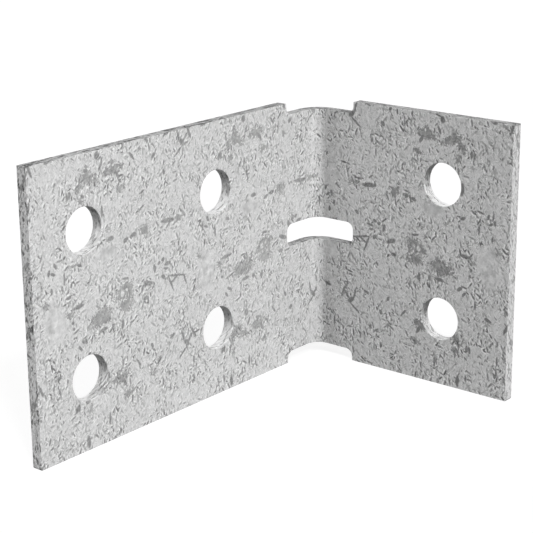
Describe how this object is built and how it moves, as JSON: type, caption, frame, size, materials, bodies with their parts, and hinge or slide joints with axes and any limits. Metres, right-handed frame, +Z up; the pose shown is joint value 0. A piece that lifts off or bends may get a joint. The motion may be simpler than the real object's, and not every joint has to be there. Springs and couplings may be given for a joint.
{
  "type": "angle bracket",
  "caption": "Folded steel angle bracket with unequal leaves, bolt holes in rows, and a slot and edge notches cut across its fold; joins two members at a right angle.",
  "frame": {"origin": "centre of the box around the bracket, in the plane of the lower edges that it stands on", "axes": "+Z up along the fold; the long leaf runs along X with its outer face towards +Y; the short leaf runs along Y with its outer face towards +X; the heel is at +X +Y"},
  "size_m": [0.1026, 0.0626, 0.07],
  "materials": {
    "galvanised_steel": "pre-galvanised sheet: matt light grey zinc with fine flecked spangle"
  },
  "bodies": {
    "root": {"angle_bracket": "galvanised_steel"}
  },
  "joints": []
}
